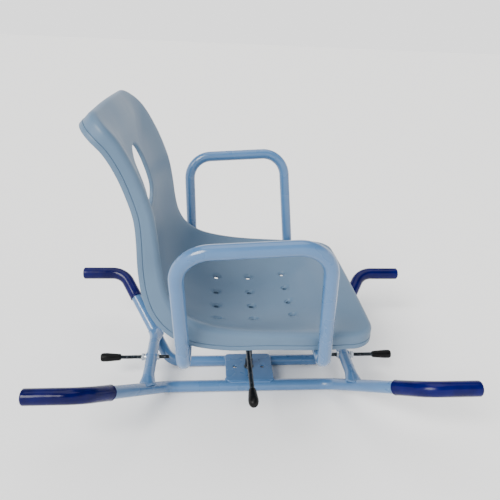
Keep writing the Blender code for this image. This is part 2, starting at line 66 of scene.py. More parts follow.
def gridFaces(rows, columns, wrapRows=False, wrapColumns=True):
    # face (i, j) joins points (i, j), (i, j+1), (i+1, j+1), (i+1, j)
    i = np.arange(rows if wrapRows else rows - 1)[:, None]
    j = np.arange(columns if wrapColumns else columns - 1)[None, :]
    nextI, nextJ = (i + 1) % rows, (j + 1) % columns
    faces = [i * columns + j, i * columns + nextJ, nextI * columns + nextJ, nextI * columns + j]
    return np.stack(np.broadcast_arrays(*faces), axis=-1).reshape(-1, 4)


def outward(points, faces):
    # turns every face over when the volume, the sum of a . (b x c) over triangles, is negative
    a, b, c, d = (points[faces[:, k]] for k in range(4))
    volume = np.sum(a * np.cross(b, c)) + np.sum(a * np.cross(c, d))
    return points, turnedOver(faces) if volume < 0 else faces


def turnedOver(faces):
    # (a, b, c, d) becomes (a, d, c, b), and a triangle (a, b, c, c) becomes (a, c, b, b)
    triangle = faces[:, 2] == faces[:, 3]
    back = faces[:, [0, 3, 2, 1]].copy()
    back[triangle] = faces[triangle][:, [0, 2, 1, 1]]
    return back


def joined(*shapes):
    # one shape of several, the later ones' indices moved up
    points, faces, base = [], [], 0
    for p, f in shapes:
        points.append(p)
        faces.append(f + base)
        base += len(p)
    return np.vstack(points), np.vstack(faces)


def loft(rings, closed=False):
    # skin over rings of equal count; closed joins the last ring to the first, else fans close the ends
    rows, count = rings.shape[:2]
    points = rings.reshape(-1, 3)
    faces = gridFaces(rows, count, wrapRows=closed)
    if not closed:
        k = np.arange(count)
        m = (k + 1) % count
        first, last = rows * count, rows * count + 1
        points = np.vstack([points, rings[0].mean(axis=0), rings[-1].mean(axis=0)])
        low = np.stack([k, np.full(count, first), m, m], axis=1)
        top = (rows - 1) * count
        high = np.stack([top + k, top + m, np.full(count, last), np.full(count, last)], axis=1)
        faces = np.vstack([faces, low, high])
    return outward(points, faces)


def bentPath(corners, radii, perBend=16):
    # straight runs joined by arcs: centre + (sin(turn-t) start + sin(t) end) / sin(turn)
    corners = np.array(corners, float)
    runs = [corners[:1]]
    for before, bend, after, radius in zip(corners[:-2], corners[1:-1], corners[2:], radii):
        u, v = unit(before - bend), unit(after - bend)
        half = math.acos(float(u @ v)) / 2
        centre = bend + unit(u + v) * radius / math.sin(half)
        start = bend + u * radius / math.tan(half) - centre
        end = bend + v * radius / math.tan(half) - centre
        turn = math.pi - 2 * half
        t = np.linspace(0, turn, perBend + 1)[:, None]
        runs.append(centre + (np.sin(turn - t) * start + np.sin(t) * end) / math.sin(turn))
    return np.vstack(runs + [corners[-1:]])


def evened(path, step):
    # the same polyline with extra points, so that none are further apart than step
    out = [path[:1]]
    for a, b in zip(path[:-1], path[1:]):
        count = max(1, int(math.ceil(np.linalg.norm(b - a) / step)))
        out.append(a + (b - a) * (np.arange(1, count + 1) / count)[:, None])
    return np.vstack(out)


def pathFrames(path):
    # two directions across the path at each point, turned on by the rotation between tangents
    ahead = unit(np.diff(path, axis=0))
    tangents = unit(np.vstack([ahead[:1], ahead[:-1] + ahead[1:], ahead[-1:]]))
    across = np.array((0, 0, 1.0))
    across = unit(across - tangents[0] * (across @ tangents[0]))
    rows, old = [], tangents[0]
    for t in tangents:
        turn = Vector(old).rotation_difference(Vector(t))
        across = np.array(turn @ Vector(across))
        across = unit(across - t * (across @ t))
        rows.append(across)
        old = t
    first = np.array(rows)
    return first, np.cross(tangents, first), tangents


def sweepRings(path, radius, sides=48):
    # ring point = path + radius (cos a across + sin a other)
    first, second, _ = pathFrames(path)
    a = fullTurn(sides)
    radius = np.broadcast_to(np.asarray(radius, float).reshape(-1, 1, 1), (len(path), 1, 1))
    circle = np.cos(a)[None, :, None] * first[:, None] + np.sin(a)[None, :, None] * second[:, None]
    return path[:, None] + radius * circle


def tube(path, radius, wall, sides=56):
    # outer skin out, inner skin back, with both mouths rounded between them
    outer = sweepRings(path, radius, sides)
    inner = sweepRings(path, radius - wall, sides)
    _, _, along = pathFrames(path)
    mouths = []
    for end, sign in ((0, -1), (-1, 1)):
        middle = sweepRings(path, radius - wall / 2, sides)[end]
        mouths.append((middle + sign * wall * 0.35 * along[end])[None])
    return loft(np.concatenate([mouths[0], outer, mouths[1], inner[::-1]]), closed=True)


def rod(path, radius, rounding, sides=32):
    # solid bar: the radius follows a quarter circle over the last stretch of each end
    run = np.concatenate([[0], np.cumsum(np.linalg.norm(np.diff(path, axis=0), axis=1))])
    a = np.radians(np.arange(0, 90, 15))
    bend = rounding * (1 - np.cos(a))
    stops = np.unique(np.concatenate([bend, run[(run > rounding) & (run < run[-1] - rounding)],
                                      [rounding, run[-1] - rounding], run[-1] - bend]))
    even = np.stack([np.interp(stops, run, path[:, k]) for k in range(3)], axis=1)
    near = np.minimum(stops, run[-1] - stops)
    q = np.clip(1 - near / rounding, 0, 1)
    return loft(sweepRings(even, radius - rounding * (1 - np.sqrt(1 - q * q)), sides))


def turned(profile, centre, axis, sides=48, hollow=False):
    # ring point = centre + distance axis + radius (cos a across + sin a other)
    profile = np.array(profile, float)
    axis = unit(np.array(axis, float))
    helper = np.array((0, 0, 1.0)) if abs(axis[2]) < 0.9 else np.array((1.0, 0, 0))
    across = unit(np.cross(helper, axis))
    other = np.cross(axis, across)
    a = fullTurn(sides)
    circle = np.cos(a)[:, None] * across + np.sin(a)[:, None] * other
    away, along = profile[:, 0, None, None], profile[:, 1, None, None]
    return loft(np.array(centre, float) + along * axis + away * circle, closed=hollow)


def softened(profile, radius, perBend=4):
    # the same profile with every inner corner rounded, less where its sides are short
    profile = np.array(profile, float)
    sides = np.linalg.norm(np.diff(profile, axis=0), axis=1)
    u, v = unit(profile[:-2] - profile[1:-1]), unit(profile[2:] - profile[1:-1])
    half = np.arccos(np.clip(np.sum(u * v, axis=1), -0.9999, 0.9999)) / 2
    reach = np.minimum(sides[:-1], sides[1:]) * 0.45
    return bentPath(profile, np.minimum(radius, reach * np.tan(half)), perBend)


def hexNut(centre, axis, acrossFlats, low, high, bore):
    # radius = the smaller of apothem / cos(angle from the flat) and a cone that trims both ends
    a = fullTurn(72)
    flat = acrossFlats / 2
    corner = flat / np.cos((a + math.pi / 6) % (math.pi / 3) - math.pi / 6)
    depth = np.array([0, 0.25, 0.5, 0.9, 1.4]) * mm
    along = np.concatenate([low + depth, high - depth[::-1]])
    cone = 0.97 * flat + 1.7 * np.minimum(along - low, high - along)
    radius = np.minimum(corner[None], cone[:, None])
    axis = unit(np.array(axis, float))
    helper = np.array((0, 0, 1.0)) if abs(axis[2]) < 0.9 else np.array((1.0, 0, 0))
    across = unit(np.cross(helper, axis))
    circle = np.cos(a)[:, None] * across + np.sin(a)[:, None] * np.cross(axis, across)
    outer = np.array(centre) + along[:, None, None] * axis + radius[:, :, None] * circle
    mouth = [[bore + 0.7 * mm, high], [bore, high - 0.7 * mm], [bore, low + 0.7 * mm],
             [bore + 0.7 * mm, low]]
    inner = np.array([np.array(centre) + d * axis + r * circle for r, d in mouth])
    return loft(np.concatenate([outer, inner]), closed=True)


def cutSheet(outline, holes, low, high, edge=0.5 * mm):
    # flat plate: a triangulated face with holes above and below, walls between, both edges eased
    loops = [np.array(outline, float)]
    for (x, y), radius in holes:
        a = fullTurn(32)
        loops.append(np.stack([x + radius * np.cos(a), y + radius * np.sin(a)], axis=1))
    inner = [loops[0] + edge * outlineNormals(loops[0])]
    for (x, y), radius in holes:
        middle = np.array((x, y))
        inner.append(middle + (loops[len(inner)] - middle) * (radius + edge) / radius)
    flatPoints = np.vstack(inner)
    starts = np.cumsum([0] + [len(p) for p in inner])
    edges = [(s + k, s + (k + 1) % len(p)) for s, p in zip(starts, inner) for k in range(len(p))]
    found = delaunay_2d_cdt([Vector(p) for p in flatPoints], edges, [], 0, 1e-7)
    kept = np.array([p[:] for p in found[0]])
    home = np.argmin(np.linalg.norm(kept[:, None] - flatPoints[None], axis=2), axis=1)
    tris = home[np.array([f for f in found[2]])]
    middle = flatPoints[tris].mean(axis=1)
    inside = insideLoop(middle, inner[0])
    for (x, y), radius in holes:
        inside &= np.hypot(middle[:, 0] - x, middle[:, 1] - y) > radius
    tris = tris[inside]
    count = len(flatPoints)
    wall = np.vstack(loops)
    level = [(flatPoints, low), (wall, low + edge), (wall, high - edge), (flatPoints, high)]
    points = np.vstack([np.column_stack([p, np.full(count, z)]) for p, z in level])
    faces = []
    for s, p in zip(starts, inner):
        k = s + np.arange(len(p))
        m = s + (np.arange(len(p)) + 1) % len(p)
        for step in range(3):
            a, b = step * count, (step + 1) * count
            faces.append(np.stack([a + k, a + m, b + m, b + k], axis=1))
    cap = tris[:, [0, 1, 2, 2]]
    area = np.cross(flatPoints[tris[:, 1]] - flatPoints[tris[:, 0]],
                    flatPoints[tris[:, 2]] - flatPoints[tris[:, 0]])
    cap = np.where(area[:, None] > 0, cap, cap[:, [0, 2, 1, 1]])
    return outward(points, np.vstack(faces + [cap + 3 * count, turnedOver(cap)]))


def outlineNormals(loop):
    # inward direction at each point of an anticlockwise loop
    d = unit(np.roll(loop, -1, axis=0) - np.roll(loop, 1, axis=0))
    return np.stack([-d[:, 1], d[:, 0]], axis=1)


def insideLoop(points, loop):
    # a point is inside when a line from it towards +X crosses the loop an odd number of times
    x, y = points[:, 0, None], points[:, 1, None]
    x0, y0 = loop[None, :, 0], loop[None, :, 1]
    x1, y1 = np.roll(x0, -1, axis=1), np.roll(y0, -1, axis=1)
    spans = (y0 > y) != (y1 > y)
    with np.errstate(divide="ignore", invalid="ignore"):
        hits = spans & (x < x0 + (y - y0) * (x1 - x0) / (y1 - y0))
    return hits.sum(axis=1) % 2 == 1


def roundedOutline(x0, x1, y0, y1, corner, perCorner=12):
    # rectangle with quarter circles, anticlockwise
    a = np.linspace(0, math.pi / 2, perCorner + 1)
    parts = []
    for cx, cy, turn in ((x1 - corner, y1 - corner, 0), (x0 + corner, y1 - corner, 1),
                         (x0 + corner, y0 + corner, 2), (x1 - corner, y0 + corner, 3)):
        b = a + turn * math.pi / 2
        parts.append(np.stack([cx + corner * np.cos(b), cy + corner * np.sin(b)], axis=1))
    return np.vstack(parts)


def lifted(shape):
    # from heights over the grip plane to heights over the floor
    points, faces = shape
    return points + np.array((0, 0, gripPlane)), faces


def weldBead(path, radius, closed, seed, sides=10):
    # a bead along the path; its radius swells by a tenth at every ripple of the run
    draw = np.random.default_rng(seed)
    run = np.concatenate([[0], np.cumsum(np.linalg.norm(np.diff(path, axis=0), axis=1))])
    even = np.arange(0, run[-1], 0.45 * mm)
    line = np.stack([np.interp(even, run, path[:, k]) for k in range(3)], axis=1)
    ripple = np.abs(np.sin(even / (2.1 * mm) * math.pi)) * 0.16 + 0.06 * draw.standard_normal(len(even))
    size = radius * (0.92 + blurred(ripple, 1.2))
    if closed:
        return loft(sweepRings(line, size, sides), closed=True)
    fade = np.clip(np.minimum(even, even[-1] - even) / (1.6 * mm), 0.15, 1) ** 0.5
    return loft(sweepRings(line, size * fade, sides))


def blurred(values, sigma):
    # Gaussian running mean, sigma in samples; each end is carried on by its point mirror
    reach = max(1, int(3 * sigma))
    weight = np.exp(-0.5 * (np.arange(-reach, reach + 1) / sigma) ** 2)
    weight /= weight.sum()
    flat = np.asarray(values, float).reshape(len(values), -1)
    head = 2 * flat[:1] - flat[reach:0:-1]
    tail = 2 * flat[-1:] - flat[-2:-reach - 2:-1]
    longer = np.vstack([head, flat, tail])
    columns = [np.convolve(longer[:, k], weight, "valid") for k in range(flat.shape[1])]
    return np.stack(columns, axis=1).reshape(np.shape(values))


def smoothstep(low, high, x):
    t = np.clip((x - low) / (high - low), 0, 1)
    return t * t * (3 - 2 * t)


def addPiece(name, shape, surface, body, replaced=(), sharp=35, bevel=0.0):
    # puts a shape into a mesh object at the origin and tells the frame what it stands for
    points, faces = shape
    triangle = faces[:, 2] == faces[:, 3]
    keep = np.ones(faces.shape, bool)
    keep[triangle, 3] = False
    corners = faces[keep]
    starts = np.concatenate([[0], np.cumsum(keep.sum(axis=1))[:-1]])
    mesh = bpy.data.meshes.new(name)
    mesh.vertices.add(len(points))
    mesh.vertices.foreach_set("co", np.ascontiguousarray(points, dtype=np.float32).ravel())
    mesh.loops.add(len(corners))
    mesh.loops.foreach_set("vertex_index", corners.astype(np.int32))
    mesh.polygons.add(len(faces))
    mesh.polygons.foreach_set("loop_start", starts.astype(np.int32))
    mesh.polygons.foreach_set("use_smooth", np.ones(len(faces), bool))
    mesh.update(calc_edges=True)
    mesh.validate()
    mesh.set_sharp_from_angle(angle=math.radians(sharp))
    mesh.materials.append(surface)
    piece = bpy.data.objects.new(name, mesh)
    bpy.context.collection.objects.link(piece)
    if bevel:
        ease = piece.modifiers.new("eased edges", "BEVEL")
        ease.width = bevel
        ease.segments = 3
        ease.limit_method = "ANGLE"
        ease.angle_limit = math.radians(40)
    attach(piece, body)
    if replaced:
        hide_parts(*replaced)
    return piece


# ---- surfaces ----

def hexColour(digits):
    # sRGB to linear: ((c + 0.055) / 1.055) ^ 2.4, or c / 12.92 near black
    c = np.array([int(digits[k:k + 2], 16) for k in (0, 2, 4)]) / 255
    linear = np.where(c <= 0.04045, c / 12.92, ((c + 0.055) / 1.055) ** 2.4)
    return (float(linear[0]), float(linear[1]), float(linear[2]), 1.0)


def addNode(tree, kind, values=None, links=None, **settings):
    # one node: settings are its own, values fill its sockets, links bring other nodes' outputs
    made = tree.nodes.new(kind)
    for key, value in settings.items():
        setattr(made, key, value)
    for key, value in (values or {}).items():
        made.inputs[key].default_value = value
    for key, source in (links or {}).items():
        tree.links.new(source, made.inputs[key])
    return made


# a colour mix node's own sockets, after those for plain numbers and vectors
mixA, mixB, mixResult = 6, 7, 2


def makeSurface(name, look):
    # base colour drifts between two tones and takes soil in the third; two grains give the bump
    surface = bpy.data.materials.new(name)
    surface.use_nodes = True
    tree = surface.node_tree
    shader = tree.nodes["Principled BSDF"]
    place = addNode(tree, "ShaderNodeTexCoord").outputs["Object"]
    cloud = addNode(tree, "ShaderNodeTexNoise", {"Scale": 1 / look["cloud"], "Detail": 3.0,
                                                 "Roughness": 0.55}, {"Vector": place})
    drift = addNode(tree, "ShaderNodeMapRange", {"From Min": 0.34, "From Max": 0.66},
                    {"Value": cloud.outputs["Fac"]})
    tone = addNode(tree, "ShaderNodeMix", {mixA: hexColour(look["tones"][0]),
                                           mixB: hexColour(look["tones"][1])},
                   {"Factor": drift.outputs["Result"]}, data_type="RGBA")
    speck = addNode(tree, "ShaderNodeTexNoise", {"Scale": 1 / look["speck"], "Detail": 2.0},
                    {"Vector": place})
    few = addNode(tree, "ShaderNodeMapRange", {"From Min": 0.62, "From Max": 0.78,
                                               "To Max": look["soil"]},
                  {"Value": speck.outputs["Fac"]})
    soiled = addNode(tree, "ShaderNodeMix", {mixB: hexColour(look["tones"][2])},
                     {"Factor": few.outputs["Result"], mixA: tone.outputs[mixResult]},
                     data_type="RGBA")
    tree.links.new(soiled.outputs[mixResult], shader.inputs["Base Color"])
    low, high = look["roughness"]
    shine = addNode(tree, "ShaderNodeMapRange", {"From Min": 0.3, "From Max": 0.7, "To Min": low,
                                                 "To Max": high}, {"Value": cloud.outputs["Fac"]})
    tree.links.new(shine.outputs["Result"], shader.inputs["Roughness"])
    height = None
    for size, depth in look["grains"]:
        grain = addNode(tree, "ShaderNodeTexNoise", {"Scale": 1 / size, "Detail": 1.5},
                        {"Vector": place})
        bump = addNode(tree, "ShaderNodeBump", {"Strength": 1.0, "Distance": depth},
                       {"Height": grain.outputs["Fac"]})
        if height is not None:
            tree.links.new(height, bump.inputs["Normal"])
        height = bump.outputs["Normal"]
    tree.links.new(height, shader.inputs["Normal"])
    for key, value in look["fixed"].items():
        shader.inputs[key].default_value = value
    return surface


# powder coated steel: melted polymer powder, glossy, with a faint orange peel
powderBlue = makeSurface("powder_coated_steel", {
    "tones": ("406690", "456b96", "3b5a7c"), "cloud": 60 * mm, "speck": 7 * mm, "soil": 0.12,
    "roughness": (0.24, 0.34), "grains": ((2.6 * mm, 0.05 * mm), (14 * mm, 0.12 * mm)),
    "fixed": {"Coat Weight": 0.5, "Coat Roughness": 0.1, "IOR": 1.5, "Specular IOR Level": 0.4}})
# injection moulded polypropylene: satin, with a fine spark-eroded texture from the mould
mouldedSeat = makeSurface("moulded_polypropylene", {
    "tones": ("506880", "556d85", "496075"), "cloud": 110 * mm, "speck": 16 * mm, "soil": 0.18,
    "roughness": (0.40, 0.52), "grains": ((1.4 * mm, 0.04 * mm), (40 * mm, 0.25 * mm)),
    "fixed": {"IOR": 1.49, "Specular IOR Level": 0.35}})
# dip moulded soft PVC: smooth and glossy with slow waves where the dip ran
dippedVinyl = makeSurface("dipped_vinyl", {
    "tones": ("01013a", "02034c", "010122"), "cloud": 40 * mm, "speck": 7 * mm, "soil": 0.4,
    "roughness": (0.16, 0.27), "grains": ((3.0 * mm, 0.05 * mm), (20 * mm, 0.3 * mm)),
    "fixed": {"IOR": 1.53, "Specular IOR Level": 0.16}})
# moulded nylon knobs and tips: near black, half gloss
mouldedBlack = makeSurface("moulded_nylon", {
    "tones": ("050506", "08080a", "18181b"), "cloud": 20 * mm, "speck": 4 * mm, "soil": 0.3,
    "roughness": (0.28, 0.42), "grains": ((1.2 * mm, 0.05 * mm), (8 * mm, 0.1 * mm)),
    "fixed": {"IOR": 1.53, "Specular IOR Level": 0.12}})
# drawn steel bar, oil blackened: dark grey with lighter rub marks
blackenedSteel = makeSurface("blackened_steel", {
    "tones": ("2c3136", "454b50", "8a8f94"), "cloud": 12 * mm, "speck": 5 * mm, "soil": 0.6,
    "roughness": (0.28, 0.5), "grains": ((1.5 * mm, 0.05 * mm), (6 * mm, 0.08 * mm)),
    "fixed": {"Metallic": 1.0}})
# bright zinc plating: pale, slightly milky metal
zincPlate = makeSurface("zinc_plated_steel", {
    "tones": ("b9bfc6", "a4adb8", "7c8088"), "cloud": 8 * mm, "speck": 3 * mm, "soil": 0.5,
    "roughness": (0.25, 0.42), "grains": ((1.5 * mm, 0.04 * mm), (5 * mm, 0.06 * mm)),
    "fixed": {"Metallic": 1.0}})
print("surfaces made")


# ---- frame ----

base = {
    "tubeRadius": 11.2 * mm, "wall": 1.5 * mm, "bend": 42 * mm,
    "rim": (361 * mm, 276 * mm, 200 * mm),        # end X, bend X, Y
    "middle": (162 * mm, 39 * mm, 124.6 * mm),    # bend X, Y, drop
}


def rimCorners(side):
    endX, bendX, rimY = base["rim"]
    midX, midY, drop = base["middle"]
    half = [(endX, side * rimY, 0), (bendX, side * rimY, 0), (midX, side * midY, -drop)]
    return [(-x, y, z) for x, y, z in half] + half[::-1]


def diagonalPoint(signX, signY, x):
    # point of a diagonal's centre line at distance x from the middle
    endX, bendX, rimY = base["rim"]
    midX, midY, drop = base["middle"]
    s = (bendX - x) / (bendX - midX)
    return np.array((signX * x, signY * (rimY + s * (midY - rimY)), -s * drop))


for side, word in ((-1, "right"), (1, "left")):
    path = evened(bentPath(rimCorners(side), [base["bend"]] * 4), 12 * mm)
    addPiece("base_tube_" + word, lifted(tube(path, base["tubeRadius"], base["wall"])), powderBlue,
             "base_frame", ["frame_tube_" + word])

grip = {"radius": 13.1 * mm, "lip": 13.5 * mm, "bore": 11.5 * mm, "innerX": 243 * mm,
        "tip": 4.6 * mm, "sides": 56}
for signX, end in ((1, "front"), (-1, "rear")):
    for signY, word in ((-1, "right"), (1, "left")):
        endX, bendX, rimY = base["rim"]
        path = evened(bentPath([diagonalPoint(signX, signY, grip["innerX"]),
                                (signX * bendX, signY * rimY, 0),
                                (signX * endX, signY * rimY, 0)], [base["bend"]], 20), 6 * mm)
        along = unit(path[1] - path[0])
        # the rolled mouth: bore, rounded rim, and a slight bead before the plain sleeve
        rim = [(grip["bore"], 9), (grip["bore"], 1.0), (11.9 * mm, 0.25), (12.5 * mm, 0),
               (13.1 * mm, 0.25), (grip["lip"], 1.0), (grip["lip"], 2.2), (13.2 * mm, 3.2)]
        mouth = np.array([path[0] + along * d * mm for _, d in rim])
        a = np.radians(np.arange(0, 91, 9))
        outX = np.array((signX * 1.0, 0, 0))
        cap = path[-1] + outX * grip["tip"] * np.sin(a)[:, None]
        keep = np.linalg.norm(path - path[0], axis=1) > 4 * mm
        line = np.vstack([mouth[3:], path[keep], cap[1:-1]])
        size = np.concatenate([[r for r, _ in rim[3:]], np.full(keep.sum(), grip["radius"]),
                               (grip["radius"] * np.cos(a) ** 0.6)[1:-1]])
        outer = sweepRings(line, size, grip["sides"])
        first, second, _ = pathFrames(line)
        b = fullTurn(grip["sides"])
        circle = np.cos(b)[:, None] * first[0] + np.sin(b)[:, None] * second[0]
        bore = np.array([p + r * circle for p, (r, _) in zip(mouth[:3], rim[:3])])
        addPiece("grip_sleeve_%s_%s" % (end, word), lifted(loft(np.concatenate([bore, outer]))),
                 dippedVinyl, "base_frame", ["rim_grip_%s_%s" % (end, word)])
print("frame tubes and sleeves made")

crossBar = {"x": 195 * mm, "z": -82 * mm, "radius": 11 * mm, "flare": (4.2 * mm, -3.2 * mm),
            "flareLength": 30 * mm, "holeRadius": 6.2 * mm}


def crossEnd(signX, signY, profile):
    # where lines along Y through the profile points meet the diagonal: |(p - a) x d| = radius
    a = diagonalPoint(signX, signY, base["middle"][0])
    d = unit(diagonalPoint(signX, signY, base["rim"][1]) - a)
    x, z = profile[:, 0] - a[0], profile[:, 1] - a[2]
    # with p = (x, y, z): y^2 (1 - dy^2) - 2 y dy (x dx + z dz) + x^2 + z^2 - (x dx + z dz)^2 = R^2
    flat = x * d[0] + z * d[2]
    qa = 1 - d[1] ** 2
    qb = -2 * d[1] * flat
    qc = x ** 2 + z ** 2 - flat ** 2 - (base["tubeRadius"] - 0.3 * mm) ** 2
    root = np.sqrt(np.maximum(qb ** 2 - 4 * qa * qc, 0))
    y = (-qb - signY * root) / (2 * qa)
    return y + a[1]


for signX, end in ((1, "front"), (-1, "rear")):
    angles = fullTurn(64)
    wide, thin = crossBar["flare"]
    endShape = np.stack([signX * crossBar["x"] + (crossBar["radius"] + wide) * np.cos(angles),
                         crossBar["z"] + (crossBar["radius"] + thin) * np.sin(angles)], axis=1)
    endY = {s: crossEnd(signX, s, endShape) for s in (-1, 1)}
    t = np.linspace(0, 1, 41)[:, None]
    y = endY[-1] + (endY[1] - endY[-1]) * t
    swell = 1 - smoothstep(0, crossBar["flareLength"], np.minimum(y - endY[-1], endY[1] - y))
    x = signX * crossBar["x"] + (crossBar["radius"] + wide * swell) * np.cos(angles)
    z = crossBar["z"] + (crossBar["radius"] + thin * swell) * np.sin(angles)
    outer = np.stack([x, y, z], axis=-1)
    wall = base["wall"]
    bore = crossBar["radius"] - wall
    x = signX * crossBar["x"] + (bore + wide * swell) * np.cos(angles)
    z = crossBar["z"] + (bore + thin * swell) * np.sin(angles)
    inner = np.stack([x, y, z], axis=-1)
    body = loft(np.concatenate([outer, inner[::-1]]), closed=True)
    beads = []
    for s, row, seed in ((-1, 0, 11), (1, -1, 12)):
        line = outer[row] + np.array((0, -s * 0.4 * mm, 0))
        beads.append(weldBead(np.vstack([line, line[:1]]), 1.7 * mm, True, seed + signX))
    # a ring of weld where the stop's boss passes through the bar
    ringProfile = [(6.0, 9.2), (7.4, 10.6), (8.3, 10.2), (8.6, 8.6), (6.0, 8.0)]
    for sign in (-1, 1):
        ring = softened([(r * mm, d * mm) for r, d in ringProfile], 0.6 * mm)
        middle = (signX * crossBar["x"], 0, crossBar["z"])
        beads.append(turned(ring, middle, (sign, 0, 0), 40, hollow=True))
    addPiece("cross_bar_" + end, lifted(joined(body, *beads)), powderBlue, "base_frame",
             ["cross_tube_" + end])

# screwed side stops: boss and nut on the bar, a threaded rod and a moulded tip that travel
stop = {"radius": 3.9 * mm, "pitch": 1.25 * mm, "thread": 0.65 * mm, "from": 160 * mm,
        "length": 113 * mm, "boss": (180 * mm, 209 * mm), "bossRadius": 6.2 * mm, "bore": 4.3 * mm,
        "nut": (209.3 * mm, 214.5 * mm), "nutFlats": 13 * mm}
for signX, end in ((1, "front"), (-1, "rear")):
    at, out = (0, 0, crossBar["z"]), (signX, 0, 0)
    inEnd, outEnd = stop["boss"]
    boss = softened([(stop["bore"], inEnd), (stop["bossRadius"], inEnd), (stop["bossRadius"], outEnd),
                     (stop["bore"], outEnd)], 0.7 * mm)
    bore = np.array([[stop["bore"], outEnd - 0.1 * mm], [stop["bore"], inEnd + 0.1 * mm]])
    addPiece("stop_boss_turned_" + end, lifted(turned(np.vstack([boss, bore]), at, out, 48, True)),
             zincPlate, "base_frame", ["stop_boss_" + end])
    addPiece("stop_lock_nut_" + end, lifted(hexNut(at, out, stop["nutFlats"], *stop["nut"], 4.2 * mm)),
             zincPlate, "base_frame", ["stop_nut_" + end])
    length = stop["length"]
    along = np.linspace(0, length, int(length / stop["pitch"] * 8))
    a = fullTurn(28)
    # thread: radius = root + depth * triangle wave of (distance / pitch - angle / full turn)
    phase = (along[:, None] / stop["pitch"] - a[None] / (2 * math.pi)) % 1
    fade = np.clip(np.minimum(along, length - along) / (1.2 * mm), 0, 1)[:, None]
    radius = stop["radius"] - stop["thread"] * (1 - fade * (1 - np.abs(2 * phase - 1)))
    rings = np.stack([np.broadcast_to(signX * (stop["from"] + along[:, None]), radius.shape),
                      radius * np.cos(a), crossBar["z"] + signX * radius * np.sin(a)], axis=-1)
    addPiece("stop_screw_" + end, lifted(loft(rings)), blackenedSteel, "side_stop_" + end,
             ["stop_rod_" + end], sharp=60)
    tip = softened([(4.2, 266), (4.2, 255), (5.6, 255), (6.4, 256.6), (7.0, 262), (8.5, 282),
                    (8.5, 290), (7.4, 293.2), (5.4, 294), (0.4, 294.2)], 1.4, 6) * mm
    addPiece("stop_foot_" + end, lifted(turned(tip, at, out, 56)), mouldedBlack,
             "side_stop_" + end, ["stop_tip_" + end])
print("cross bars and side stops made")

# centre plate with its index holes, welded across both tubes
carrierLow, carrierTop = (corner.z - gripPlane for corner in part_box("carrier_plate"))
plate = {"x": 47.5 * mm, "y": 42 * mm, "corner": 7 * mm, "thick": 4 * mm,
         "top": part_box("centre_plate")[1].z - gripPlane, "index": 28 * mm, "hole": 4.2 * mm}
outline = roundedOutline(-plate["x"], plate["x"], -plate["y"], plate["y"], plate["corner"])
holes = [((plate["index"] * math.cos(k * math.pi / 2), plate["index"] * math.sin(k * math.pi / 2)),
          plate["hole"]) for k in range(4)] + [((0, 0), 5.3 * mm)]
sheet = cutSheet(outline, holes, plate["top"] - plate["thick"], plate["top"], 0.7 * mm)
beads = []
for s in (-1, 1):
    x = np.linspace(-41, 41, 30) * mm
    line = np.stack([x, np.full(30, s * (plate["y"] + 0.8 * mm)),
                     np.full(30, plate["top"] - 3.4 * mm)], axis=1)
    beads.append(weldBead(line, 2.0 * mm, False, 31 + s))
    for e in (-1, 1):
        y = np.linspace(30, 40.5, 8) * mm
        line = np.stack([np.full(8, e * (plate["x"] + 0.4 * mm)), s * y,
                         np.full(8, plate["top"] - 4.1 * mm)], axis=1)
        beads.append(weldBead(line, 1.5 * mm, False, 41 + s + 3 * e))
addPiece("index_plate", lifted(joined(sheet, *beads)), powderBlue, "base_frame",
         ["centre_plate"], sharp=40)

spindle = {"stub": 5.0 * mm, "stubLow": -121.5 * mm, "foot": 7.5 * mm, "radius": 5.5 * mm,
           "collar": 9.5 * mm, "shoulder": (12 * mm, 17.7 * mm)}
low = plate["top"] + 0.3 * mm
shoulderLow, shoulderTop = spindle["shoulder"]
post = softened([(spindle["stub"] - 1 * mm, spindle["stubLow"] - 1 * mm),
                 (spindle["stub"], spindle["stubLow"]), (spindle["stub"], low),
                 (spindle["collar"], low), (spindle["collar"], low + 1.6 * mm),
                 (spindle["foot"], low + 3.4 * mm), (spindle["foot"], low + 19 * mm),
                 (spindle["foot"] - 0.8 * mm, low + 20 * mm), (spindle["radius"], low + 20.4 * mm),
                 (spindle["radius"], shoulderLow), (spindle["collar"], shoulderLow),
                 (spindle["collar"], shoulderTop), (spindle["radius"], shoulderTop),
                 (spindle["radius"], carrierTop + 3.1 * mm),
                 (spindle["radius"] - 0.7 * mm, carrierTop + 3.9 * mm)], 0.4 * mm, 3)
addPiece("spindle_turned", lifted(turned(post, (0, 0, 0), (0, 0, 1), 48)), blackenedSteel,
         "base_frame", ["spindle"])
addPiece("spindle_nut_low", lifted(hexNut((0, 0, 0), (0, 0, 1), 16 * mm, spindle["stubLow"],
                                          plate["top"] - plate["thick"] - 0.3 * mm, 5.3 * mm)),
         zincPlate, "base_frame", ["spindle_base_nut"])
addPiece("spindle_nut_high", lifted(hexNut((0, 0, 0), (0, 0, 1), 15 * mm, carrierTop + 0.3 * mm,
                                           carrierTop + 3.7 * mm, 5.85 * mm)),
         zincPlate, "base_frame", ["spindle_top_nut"])
print("plate and spindle made")

# ---- chair ----

